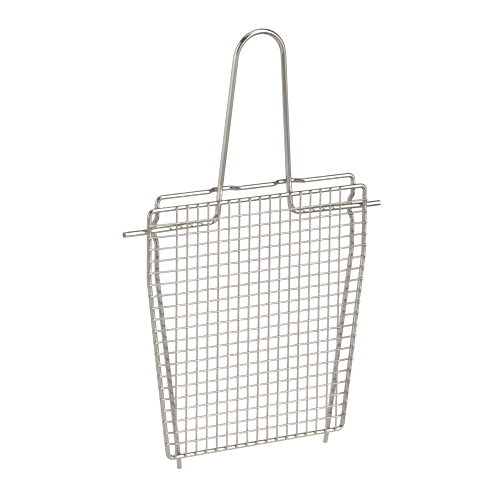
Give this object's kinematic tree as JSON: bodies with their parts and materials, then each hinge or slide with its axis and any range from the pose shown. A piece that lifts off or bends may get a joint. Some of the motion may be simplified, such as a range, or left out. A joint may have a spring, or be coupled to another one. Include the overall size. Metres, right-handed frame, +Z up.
{
  "type": "grill basket panel",
  "caption": "Welded wire mesh panel in a tapered wire frame, with a joggled wire frame behind it, a tall loop handle and a pin each side to hang it by.",
  "frame": {"origin": "on the ground under the middle of the mesh, halfway between the two pins and between the front of the mesh and the back of the joggles", "axes": "+Z up the panel towards the handle's loop, +Y from the mesh towards the rear frame, +X along the hanging pins"},
  "size_m": [0.3192, 0.0216, 0.4719],
  "materials": {
    "handle_wire": "bright drawn stainless wire, electropolished",
    "frame_wire": "bright drawn stainless wire, electropolished",
    "mesh_wire": "drawn stainless wire, electropolished, slightly duller than the frames"
  },
  "bodies": {
    "root": {"front_frame": "frame_wire", "rear_frame": "frame_wire", "handle": "handle_wire", "upright_wire_01": "mesh_wire", "upright_wire_02": "mesh_wire", "upright_wire_03": "mesh_wire", "upright_wire_04": "mesh_wire", "upright_wire_05": "mesh_wire", "upright_wire_06": "mesh_wire", "upright_wire_07": "mesh_wire", "upright_wire_08": "mesh_wire", "upright_wire_09": "mesh_wire", "upright_wire_10": "mesh_wire", "upright_wire_11": "mesh_wire", "upright_wire_12": "mesh_wire", "upright_wire_13": "mesh_wire", "upright_wire_14": "mesh_wire", "upright_wire_15": "mesh_wire", "upright_wire_16": "mesh_wire", "upright_wire_17": "mesh_wire", "cross_wire_01": "mesh_wire", "cross_wire_02": "mesh_wire", "cross_wire_03": "mesh_wire", "cross_wire_04": "mesh_wire", "cross_wire_05": "mesh_wire", "cross_wire_06": "mesh_wire", "cross_wire_07": "mesh_wire", "cross_wire_08": "mesh_wire", "cross_wire_09": "mesh_wire", "cross_wire_10": "mesh_wire", "cross_wire_11": "mesh_wire", "cross_wire_12": "mesh_wire", "cross_wire_13": "mesh_wire", "cross_wire_14": "mesh_wire", "cross_wire_15": "mesh_wire", "cross_wire_16": "mesh_wire", "cross_wire_17": "mesh_wire", "cross_wire_18": "mesh_wire", "cross_wire_19": "mesh_wire", "cross_wire_20": "mesh_wire"}
  },
  "joints": []
}
